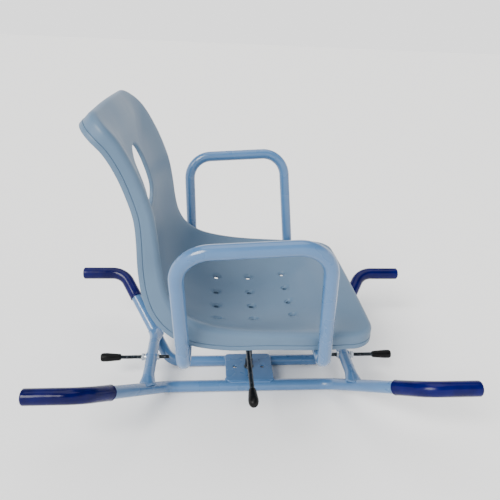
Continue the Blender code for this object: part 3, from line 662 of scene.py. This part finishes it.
hubBore, hubRadius, hubLow, hubTop = 5.6 * mm, 12 * mm, shoulderTop + 0.3 * mm, carrierLow - 0.3 * mm
hub = softened([(hubBore, hubLow), (hubRadius, hubLow), (hubRadius, hubTop), (hubBore, hubTop)],
               0.8 * mm)
hub = np.vstack([hub, [[hubBore, 28 * mm]]])
addPiece("hub_turned", lifted(turned(hub, (0, 0, 0), (0, 0, 1), 56, True)), powderBlue,
         "chair", ["swivel_hub"])
carrier = {"x": (-135 * mm, 113 * mm), "y": 78 * mm, "z": (carrierLow, carrierTop), "corner": 12 * mm,
           "screws": ((-75 * mm, -58 * mm, "rear_right"), (-75 * mm, 58 * mm, "rear_left"),
                      (52 * mm, -58 * mm, "front_right"), (52 * mm, 58 * mm, "front_left"))}
outline = roundedOutline(*carrier["x"], -carrier["y"], carrier["y"], carrier["corner"])
holes = [((x, y), 3.1 * mm) for x, y, _ in carrier["screws"]]
holes += [((0, 0), 6.3 * mm), ((0, plate["index"]), 4.0 * mm)]
addPiece("carrier_sheet", lifted(cutSheet(outline, holes, *carrier["z"], 0.8 * mm)), powderBlue,
         "chair", ["carrier_plate"], sharp=40)
for x, y, word in carrier["screws"]:
    low = carrier["z"][0]
    head = [(0.9 * mm, low - 2.6 * mm), (1.6 * mm, low - 4.0 * mm), (2.6 * mm, low - 4.2 * mm),
            (4.6 * mm, low - 3.3 * mm), (5.6 * mm, low - 1.2 * mm), (5.6 * mm, low - 0.3 * mm),
            (2.7 * mm, low - 0.3 * mm), (2.7 * mm, carrierTop + 4.9 * mm),
            (1.8 * mm, carrierTop + 5.8 * mm)]
    addPiece("seat_bolt_" + word, lifted(turned(softened(head, 0.5 * mm), (x, y, 0), (0, 0, 1), 32)),
             zincPlate, "chair", ["seat_screw_" + word])

arm = {"radius": 10.5 * mm, "wall": 1.5 * mm, "bends": (26 * mm, 47 * mm, 47 * mm, 26 * mm),
       "low": carrierTop + 10.5 * mm,
       # X at the foot, X at the top corner, and its height
       "rear": (-119 * mm, -126 * mm, 261 * mm), "front": (97 * mm, 77 * mm, 275 * mm)}


def armY(z):
    # the arms lean outward by a fifth of their height
    return 217 * mm + 0.20 * (z - 150 * mm)


for side, word in ((-1, "right"), (1, "left")):
    low = arm["low"]
    corners = [(arm["rear"][0], side * 30 * mm, low), (arm["rear"][0], side * armY(low), low),
               (arm["rear"][1], side * armY(arm["rear"][2]), arm["rear"][2]),
               (arm["front"][1], side * armY(arm["front"][2]), arm["front"][2]),
               (arm["front"][0], side * armY(low), low), (arm["front"][0], side * 30 * mm, low)]
    path = evened(bentPath(corners, arm["bends"], 18), 12 * mm)
    loop = tube(path, arm["radius"], arm["wall"])
    beads = []
    y = np.linspace(32, 76, 40) * mm
    for x in (arm["rear"][0], arm["front"][0]):
        for off in (-1, 1):
            line = np.stack([np.full(40, x + off * 4.6 * mm), side * y,
                             np.full(40, low - 10.0 * mm)], axis=1)
            beads.append(weldBead(line, 1.6 * mm, False, 60 + off))
    addPiece("arm_loop_" + word, lifted(joined(loop, *beads)), powderBlue, "chair",
             ["armrest_" + word])
print("carrier and armrests made")

# ---- seat shell ----

seat = {
    "crest": [(177, 95), (120, 95.5), (60, 97), (0, 99.5), (-45, 104), (-84, 112), (-112, 124),
              (-133, 143), (-145, 168), (-151, 200), (-154.5, 238), (-160.5, 280), (-172, 317),
              (-187, 352), (-206, 384.5), (-233, 411)],
    "halfWidth": ((0, 100, 240, 300, 400, 460, 600, 660),
                  (170, 176, 178, 175, 152, 145, 139, 141)),
    "dish": ((0, 50, 104, 174, 245, 300, 380, 450, 560), (4, 14, 35.5, 48, 55, 51, 33, 23, 22)),
    "topDish": (16, 6),
    "skirt": ((0, 170, 230, 290, 370, 460, 540, 620), (27, 27, 33, 39, 34, 28, 26, 29)),
    "frontCorner": 32 * mm, "topCorner": 32 * mm, "topArch": 2 * mm, "frontBow": 3 * mm,
    "roll": 9 * mm, "thick": 4 * mm, "rowStep": 2.5 * mm, "columns": 137,
    "drainX": (-68, -3, 66), "drainY": (-76, -25.3, 25.3, 76), "drainRadius": 4.4 * mm,
    "dimple": (6.3 * mm, 8.4 * mm, 2.1 * mm), "slotZ": (230, 344), "slotHalfWidth": 36.5 * mm,
    "slotLip": 3.4 * mm,
}


def crestLine(points, spacing):
    # Catmull-Rom curve through the points, evenly spaced by length, then blurred over 6 mm
    p = np.array(points, float) * mm
    ext = np.vstack([2 * p[0] - p[1], p, 2 * p[-1] - p[-2]])
    t = np.linspace(0, 1, 40, endpoint=False)[None, :, None]
    p0, p1, p2, p3 = (ext[k:len(ext) - 3 + k, None] for k in range(4))
    dense = 0.5 * (2 * p1 + (p2 - p0) * t + (2 * p0 - 5 * p1 + 4 * p2 - p3) * t ** 2
                   + (3 * p1 - p0 - 3 * p2 + p3) * t ** 3)
    dense = np.vstack([dense.reshape(-1, 2), p[-1:]])
    run = np.concatenate([[0], np.cumsum(np.linalg.norm(np.diff(dense, axis=0), axis=1))])
    even = np.arange(0, run[-1], spacing)
    line = np.stack([np.interp(even, run, dense[:, k]) for k in (0, 1)], axis=1)
    return even, blurred(line, 6 * mm / spacing)


crestU, crestXZ = crestLine(seat["crest"], 0.5 * mm)
crestSlope = unit(blurred(np.gradient(crestXZ, crestU, axis=0), 16))
shellLength = float(crestU[-1])


def place(u, v, h):
    # (u, v, h) to space: crest(u) + h normal(u), v straight across; the ends run straight on
    t = np.clip(u, 0, shellLength)
    x, z = (np.interp(t, crestU, crestXZ[:, k]) for k in (0, 1))
    tx, tz = (np.interp(t, crestU, crestSlope[:, k]) for k in (0, 1))
    x, y, z = np.broadcast_arrays(x + tx * (u - t) + tz * h, v, z + tz * (u - t) - tx * h)
    return np.stack([x, y, z], axis=-1)


def eased(u, pair, blur):
    # smoothstep between table entries, then blurred so that no entry shows as a flat
    us, values = (np.array(row, float) * mm for row in pair)
    fine = np.arange(-40 * mm, shellLength + 40 * mm, 1 * mm)
    k = np.clip(np.searchsorted(us, fine) - 1, 0, len(us) - 2)
    t = np.clip((fine - us[k]) / (us[k + 1] - us[k]), 0, 1)
    line = values[k] + (values[k + 1] - values[k]) * (0.35 * t + 0.65 * (3 * t * t - 2 * t ** 3))
    return np.interp(u, fine, blurred(line, blur / mm))


def halfWidth(u):
    return eased(u, seat["halfWidth"], 14 * mm)


def dish(u):
    us, values = seat["dish"]
    ends = (shellLength / mm - 30, shellLength / mm)
    return eased(u, (us + ends, values + seat["topDish"]), 8 * mm)


def skirt(u):
    return eased(u, seat["skirt"], 12 * mm)


spine = (145 * mm, shellLength - 135 * mm)
sideEnd = shellLength - seat["topArch"]


def widthWithCorners(s):
    # half width of the crest outline, with a quarter circle at the front and one at the top
    front, top = seat["frontCorner"], seat["topCorner"]
    f = np.clip(1 - s / front, 0, 1)
    t = np.clip(1 - (sideEnd - s) / top, 0, 1)
    w = halfWidth(np.clip(s, front, sideEnd - top))
    return w - front * (1 - np.sqrt(1 - f * f)) - top * (1 - np.sqrt(np.maximum(1 - t * t, 0)))


front, top = seat["frontCorner"], seat["topCorner"]
a = np.linspace(0, math.pi / 2, 15)
middleRows = int((sideEnd - front - top) / seat["rowStep"])
s = np.concatenate([front * (1 - np.cos(a)), np.linspace(front, sideEnd - top, middleRows)[1:-1],
                    sideEnd - top + top * np.sin(np.linspace(0, math.pi / 2, 20))])
columns = seat["columns"]
t = np.linspace(-1, 1, columns)
rows = len(s)
W = widthWithCorners(s)
V = W[:, None] * t[None]
endWidth = float(halfWidth(sideEnd))
bow = seat["frontBow"] * (V / 0.170) ** 2 * (1 - smoothstep(0, 120 * mm, s))[:, None]
arch = seat["topArch"] * (1 - np.clip(np.abs(V) / endWidth, 0, 1) ** 2) ** 2 \
    * smoothstep(sideEnd - 130 * mm, sideEnd, s)[:, None]
U = s[:, None] + bow + arch

# the edge of the grid, once round, with the direction pointing out of the shell
index = np.arange(rows * columns).reshape(rows, columns)
edgeIndex = np.concatenate([index[0, :-1], index[:-1, -1], index[-1, :0:-1], index[:0:-1, 0]])
edge = np.stack([U.ravel()[edgeIndex], V.ravel()[edgeIndex]], axis=1)
d = unit(np.roll(edge, -1, axis=0) - np.roll(edge, 1, axis=0))
aside = np.stack([d[:, 1], -d[:, 0]], axis=1)
edgeOut = unit(blurred(np.vstack([aside] * 3), 1.0)[len(edge):2 * len(edge)])
if edgeOut[len(edge) // 8, 0] > 0:
    edgeOut = -edgeOut


def inset(u, v):
    # 0 on the crest and 1 on the spine; past the spine's ends it is measured on rays from there
    out = 1 - np.abs(v) / np.maximum(widthWithCorners(np.clip(u, 0, sideEnd)), 1e-6)
    for end, sign in ((spine[0], -1), (spine[1], 1)):
        beyond = (u - end) * sign
        rim = (edge[:, 0] - end) * sign
        mine = rim > -2 * mm
        angle = np.arctan2(edge[mine, 1], rim[mine])
        order = np.argsort(angle)
        far = np.hypot(rim[mine], edge[mine, 1])
        reach = np.interp(np.arctan2(v, beyond), angle[order], far[order])
        out = np.where(beyond > 0, 1 - np.hypot(beyond, v) / reach, out)
    return np.clip(out, 0, 1)


def hollow(u, v):
    # level at the crest, falling smoothly to the dish at the spine
    q = np.minimum(inset(u, v) / 0.9, 1)
    return -dish(u) * (1 - (1 - q * q * 1.10 / (q + 0.10)) ** 2.2)


def uAtX(x):
    # place along the pan's middle whose upper skin has this X
    u = np.linspace(40 * mm, 300 * mm, 800)
    return float(np.interp(-x, -place(u, 0 * u, hollow(u, 0 * u))[:, 0], u))


def uAtZ(z):
    u = np.linspace(330 * mm, 600 * mm, 800)
    return float(np.interp(z, place(u, 0 * u, hollow(u, 0 * u))[:, 2], u))


removed = np.zeros((rows - 1, columns - 1), bool)
rims = []


def openHole(uc, vc, straight, radius, halfRows, halfColumns, offsets, weights):
    # moves rectangles of grid points onto outlines round the hole: straight sides along u, round ends
    row = int(np.argmin(np.abs(U[:, columns // 2] - uc)))
    column = int(np.argmin(np.abs(V[row] - vc)))
    reach = len(offsets) - 1
    highRow, highColumn = halfRows + reach, halfColumns + reach
    di, dj = np.mgrid[-highRow:highRow + 1, -highColumn:highColumn + 1]
    m = np.maximum(np.maximum(np.abs(di) - halfRows, np.abs(dj) - halfColumns), 0)
    ai, bj = halfRows + m, halfColumns + m
    q = np.where(np.abs(dj) == bj, np.abs(di), ai + bj - np.abs(dj)) / (ai + bj)
    size = radius + np.array(offsets)[m]
    run = q * (straight + size * math.pi / 2)
    turn = np.maximum(run - straight, 0) / size
    du = np.minimum(run, straight) + size * np.sin(turn)
    dv = size * np.cos(turn)
    fold = np.where((np.abs(di) >= halfRows) | (np.abs(dj) >= halfColumns), 1.0, 0.0)
    weight = np.array(weights)[m] * fold
    block = (slice(row - highRow, row + highRow + 1),
             slice(column - highColumn, column + highColumn + 1))
    U[block] = U[block] * (1 - weight) + (uc + np.sign(di) * du) * weight
    V[block] = V[block] * (1 - weight) + (vc + np.sign(dj) * dv) * weight
    removed[row - halfRows:row + halfRows, column - halfColumns:column + halfColumns] = True
    hole = index[row - halfRows:row + halfRows + 1, column - halfColumns:column + halfColumns + 1]
    rims.append(np.concatenate([hole[0, :-1], hole[:-1, -1], hole[-1, :0:-1], hole[:0:-1, 0]]))


drains = [(uAtX(x * mm), y * mm) for x in seat["drainX"] for y in seat["drainY"]]
for uc, vc in drains:
    openHole(uc, vc, 0.0, seat["drainRadius"], 4, 4,
             np.array((0, 0.5, 2.1, 3.0, 3.9, 5.6, 9.0)) * mm, (1, 1, 1, 1, 1, 0.75, 0))
slotLow, slotHigh = (uAtZ(z * mm) for z in seat["slotZ"])
slotCentre, slotHalf = (slotLow + slotHigh) / 2, (slotHigh - slotLow) / 2 - seat["slotHalfWidth"]
slotRows = int(round((slotHigh - slotLow) / 2 / seat["rowStep"])) - 1
openHole(slotCentre, 0.0, slotHalf, seat["slotHalfWidth"], slotRows, 16,
         np.array((0, 0.9, 2.0, 3.4, 5.2, 7.4, 9.8, 12.2, 14.6, 17.0)) * mm,
         (1, 1, 1, 1, 1, 0.85, 0.65, 0.4, 0.2, 0))

# round each drain the skin sinks into a dimple, and the hole's own edge is eased
near = np.min([np.hypot(U - uc, V - vc) for uc, vc in drains], axis=0)
inner, outer, depth = seat["dimple"]
holeEase = 0.4 * mm * (1 - smoothstep(seat["drainRadius"], seat["drainRadius"] + 0.5 * mm, near))
dimple = -depth * (1 - smoothstep(inner, outer, near)) - holeEase
ringOut = 0.3 * mm * np.exp(-((near - 9.2 * mm) / (1.6 * mm)) ** 2)
# distance outside the slot's outline
past = np.hypot(np.maximum(np.abs(U - slotCentre) - slotHalf, 0), V) - seat["slotHalfWidth"]
slotEase = -1.6 * mm * (1 - np.clip(past / (4.0 * mm), 0, 1)) ** 2
height = hollow(U, V) + dimple + ringOut + slotEase
lip = seat["slotLip"] * (1 - smoothstep(2.5 * mm, 9 * mm, past))
upper = place(U, V, height)
lipEase = 0.8 * mm * (1 - np.clip(past / (2 * mm), 0, 1)) ** 2
under = place(U, V, hollow(U, V) + dimple - seat["thick"] - lip + lipEase)

grid = gridFaces(rows, columns, wrapColumns=False)[~removed.ravel()]
count = rows * columns

# section of the edge as (out, down): roll, skirt with a scored line near its edge, and back inside
roll, thick = seat["roll"], seat["thick"]
arc = np.radians(np.arange(9, 91, 9))
fromRoll = [(roll * math.sin(b), -roll * (1 - math.cos(b))) for b in arc]
skirtShares = (0.35, 0.7)
lowRows = [(0.0, 9.6), (-0.15, 9.0), (-0.8, 8.5), (-0.8, 8.2), (0.35, 7.7), (0.5, 7.0), (0.5, 4.0),
           (0.5, 1.2), (0.15, 0.4), (-0.7, 0.0), (-2.2, 0.0), (-3.0, 0.3), (-3.4, 1.0), (-3.5, 9.0)]
backRoll = roll - 3.5 * mm
depthAt = skirt(edge[:, 0])
profile = [(out, np.full(len(edge), down)) for out, down in fromRoll]
profile += [(roll, -roll - share * (depthAt - roll - 9.6 * mm)) for share in skirtShares]
profile += [(roll + out * mm, -(depthAt - up * mm)) for out, up in lowRows]
profile += [(backRoll * math.sin(b), np.full(len(edge), -thick - backRoll * (1 - math.cos(b))))
            for b in arc[::-1]]
bands = np.array([place(edge[:, 0] + edgeOut[:, 0] * out, edge[:, 1] + edgeOut[:, 1] * out, down)
                  for out, down in profile])
points = np.vstack([upper.reshape(-1, 3), under.reshape(-1, 3), bands.reshape(-1, 3)])
k = np.arange(len(edge))
m = (k + 1) % len(edge)
# the upper skin's edge, every band, and the under skin's edge
levels = [edgeIndex] + [2 * count + r * len(edge) + k for r in range(len(bands))] + [count + edgeIndex]
sides = [np.stack([lo, hi, hi[m], lo[m]], axis=1) for lo, hi in zip(levels[:-1], levels[1:])]
walls = []
for rim in rims:
    n = np.roll(rim, -1)
    walls.append(np.stack([rim, n, count + n, count + rim], axis=1))
faces = np.vstack([grid, turnedOver(grid + count)] + sides + walls)
shell = outward(points, faces)

# four hollow posts under the pan, standing on the carrier
posts = []
for x, y, _ in carrier["screws"]:
    topZ = float(place(uAtX(x), y, hollow(np.array(uAtX(x)), np.array(y)))[2]) - 2.2 * mm
    post = softened([(3.0 * mm, carrierTop + 6.1 * mm), (3.0 * mm, carrierTop + 0.3 * mm),
                     (8.9 * mm, carrierTop + 0.3 * mm), (9.5 * mm, topZ)], 0.4 * mm)
    posts.append(turned(post, (x, y, 0), (0, 0, 1), 40))
addPiece("moulded_seat", lifted(joined(shell, *posts)), mouldedSeat, "chair",
         ["seat_shell"], sharp=50)
print("seat made:", len(shell[1]), "faces")

# ---- release lever and lock pin ----

lever = {"radius": 4 * mm, "z": 8 * mm, "x": -13 * mm, "sideX": -19 * mm, "pivotY": -38 * mm,
         "knobY": -202 * mm, "endY": -211 * mm, "barrel": 7.5 * mm}
z = lever["z"]
path = evened(bentPath([(lever["x"], lever["endY"], z), (lever["x"], -90 * mm, z),
                        (lever["sideX"], -66 * mm, z), (lever["sideX"], 4 * mm, z),
                        (-8.8 * mm, 19 * mm, z), (-8.8 * mm, 36 * mm, z)],
                       (20 * mm, 20 * mm, 12 * mm, 12 * mm), 8), 5 * mm)
barrel = softened([(3.2 * mm, -5 * mm), (lever["barrel"], -5 * mm), (lever["barrel"], 5 * mm),
                   (3.2 * mm, 5 * mm)], 0.5 * mm)
pivot = (lever["sideX"], lever["pivotY"], z)
addPiece("lever_bar", lifted(joined(rod(path, lever["radius"], 1.5 * mm),
                                    turned(barrel, pivot, (1, 0, 0), 48, True))),
         blackenedSteel, "release_lever", ["lever_rod"])
knob = softened([(4.3, 13.5), (4.3, 0.3), (5.0, 0.0), (5.6, 0.5), (6.2, 2.4), (7.0, 10), (8.1, 22),
                 (8.0, 27), (7.0, 31.5), (4.8, 34.4), (0.3, 35.2)], 2.5, 6) * mm
addPiece("lever_handle", lifted(turned(knob, (lever["x"], lever["knobY"], z), (0, -1, 0), 56)),
         mouldedBlack, "release_lever", ["lever_knob"])
x0, x1 = lever["sideX"] - 8.5 * mm, lever["sideX"] + 8.5 * mm
channelTop = carrierLow / mm - 0.3
section = [(x0, -1), (x0 + 3 * mm, -1), (x0 + 3 * mm, channelTop - 4), (x1 - 3 * mm, channelTop - 4),
           (x1 - 3 * mm, -1), (x1, -1), (x1, channelTop), (x0, channelTop)]
spread = np.array([-9, 9]) * mm + lever["pivotY"]
rings = np.array([[(x, y, h * mm) for x, h in section] for y in spread])
caps = np.array([[0, 1, 2, 7], [2, 3, 6, 7], [3, 4, 5, 6]])
channel = outward(rings.reshape(-1, 3), np.vstack([gridFaces(2, 8), caps[:, ::-1], caps + 8]))
addPiece("lever_channel", lifted(channel), powderBlue, "chair", ["lever_bracket"],
         bevel=0.7 * mm)
pin = softened([(1.6, -11.9), (2.6, -11.9), (4.2, -11.4), (4.6, -10.4), (4.6, -8.8), (3.0, -8.8),
                (3.0, 11.2), (2.2, 11.9), (1.4, 11.9)], 0.4) * mm
addPiece("pivot_rivet", lifted(turned(pin, pivot, (1, 0, 0), 40)), zincPlate, "chair",
         ["lever_pivot_pin"])
# at rest the bolt's nose stands just clear of the plate
boltRadius, collarRadius, collar, collarTop = 3.6 * mm, 11 * mm, 12.3 * mm, 15.8 * mm
pinLow = plate["top"] + 0.4 * mm
bolt = softened([(1.8 * mm, pinLow), (2.6 * mm, pinLow + 0.2 * mm), (boltRadius, pinLow + 2.0 * mm),
                 (boltRadius, collar), (collarRadius, collar), (collarRadius, collarTop),
                 (boltRadius, collarTop), (boltRadius, carrierLow - 0.3 * mm),
                 (3.0 * mm, carrierLow + 0.5 * mm)], 0.5 * mm)
addPiece("index_bolt", lifted(turned(bolt, (0, plate["index"], 0), (0, 0, 1), 48)), blackenedSteel,
         "lock_pin", ["lock_pin"])
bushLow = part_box("pin_bush")[0].z - gripPlane
bushBore, bushRadius = 3.95 * mm, 6.8 * mm
bush = softened([(bushBore, bushLow), (bushRadius, bushLow), (bushRadius, hubTop), (bushBore, hubTop)],
                0.6 * mm)
bush = np.vstack([bush, [[bushBore, (bushLow + hubTop) / 2]]])
addPiece("bolt_bush", lifted(turned(bush, (0, plate["index"], 0), (0, 0, 1), 48, True)),
         powderBlue, "chair", ["pin_bush"])
print("lever and lock bolt made")

# ---- floor, light and camera ----

floorMesh = bpy.data.meshes.new("studio_floor")
floorMesh.from_pydata([(x, y, -0.4 * mm) for x, y in ((-14, -10), (14, -10), (14, 18), (-14, 18))],
                      [], [(0, 1, 2, 3)])
floor = bpy.data.objects.new("studio_floor", floorMesh)
bpy.context.collection.objects.link(floor)
floorPaint = bpy.data.materials.new("matt_white_paper")
floorPaint.use_nodes = True
floorShader = floorPaint.node_tree.nodes["Principled BSDF"]
floorShader.inputs["Base Color"].default_value = hexColour("fafafa")
floorShader.inputs["Roughness"].default_value = 0.9
floorShader.inputs["Specular IOR Level"].default_value = 0.1
floorMesh.materials.append(floorPaint)

light = {"above": ("b4bac2", 0.34), "horizon": ("f8f8f8", 1.9), "band": (0.3, 0.62)}
world = bpy.data.worlds.new("studio")
bpy.context.scene.world = world
world.use_nodes = True
sky = world.node_tree
background = sky.nodes["Background"]
height = addNode(sky, "ShaderNodeSeparateXYZ", None,
                 {"Vector": addNode(sky, "ShaderNodeTexCoord").outputs["Generated"]})
rise = addNode(sky, "ShaderNodeMapRange", {"From Min": light["band"][0], "From Max": light["band"][1]},
               {"Value": height.outputs["Z"]}, interpolation_type="SMOOTHSTEP")
dome = addNode(sky, "ShaderNodeMix", None, {"Factor": rise.outputs["Result"]}, data_type="RGBA")
for socket, key in ((mixA, "horizon"), (mixB, "above")):
    digits, power = light[key]
    dome.inputs[socket].default_value = [part * power for part in hexColour(digits)[:3]] + [1.0]
sky.links.new(dome.outputs[mixResult], background.inputs["Color"])
background.inputs["Strength"].default_value = 1.0

suns = (("key", (-1.6, -1.8, 2.1), 30, 4.7, "fffdf8"),
        ("fill", (1.9, -1.3, 1.3), 60, 0.15, "ffe9d6"),
        ("top", (0.1, 0.4, 2.4), 50, 1.35, "ffffff"),
        ("back", (-0.6, 2.2, 1.6), 60, 0.35, "eef4ff"))
for name, at, spread, power, digits in suns:
    data = bpy.data.lights.new(name, "SUN")
    data.angle, data.energy, data.color = math.radians(spread), power, hexColour(digits)[:3]
    lamp = bpy.data.objects.new(name, data)
    lamp.location = at
    lamp.rotation_euler = (-Vector(at)).to_track_quat("-Z", "Y").to_euler()
    bpy.context.collection.objects.link(lamp)

shot = {"tilt": 25.19, "yaw": 5.24, "roll": 2.57, "at": (-80 * mm, -786 * mm, 526 * mm),
        "lens": 34.56}
tilt, yaw, twist = (math.radians(shot[key]) for key in ("tilt", "yaw", "roll"))
ahead = Vector((math.sin(yaw) * math.cos(tilt), math.cos(yaw) * math.cos(tilt), -math.sin(tilt)))
level = Vector((math.cos(yaw), -math.sin(yaw), 0))
upright = level.cross(ahead)
right = level * math.cos(twist) + upright * math.sin(twist)
over = upright * math.cos(twist) - level * math.sin(twist)
cameraData = bpy.data.cameras.new("camera")
cameraData.lens, cameraData.sensor_width = shot["lens"], 36
camera = bpy.data.objects.new("camera", cameraData)
bpy.context.collection.objects.link(camera)
turnTo = Matrix((right, over, -ahead)).transposed().to_4x4()
camera.matrix_world = Matrix.Translation(Vector(shot["at"]) + Vector((0, 0, gripPlane))) @ turnTo
bpy.context.scene.camera = camera
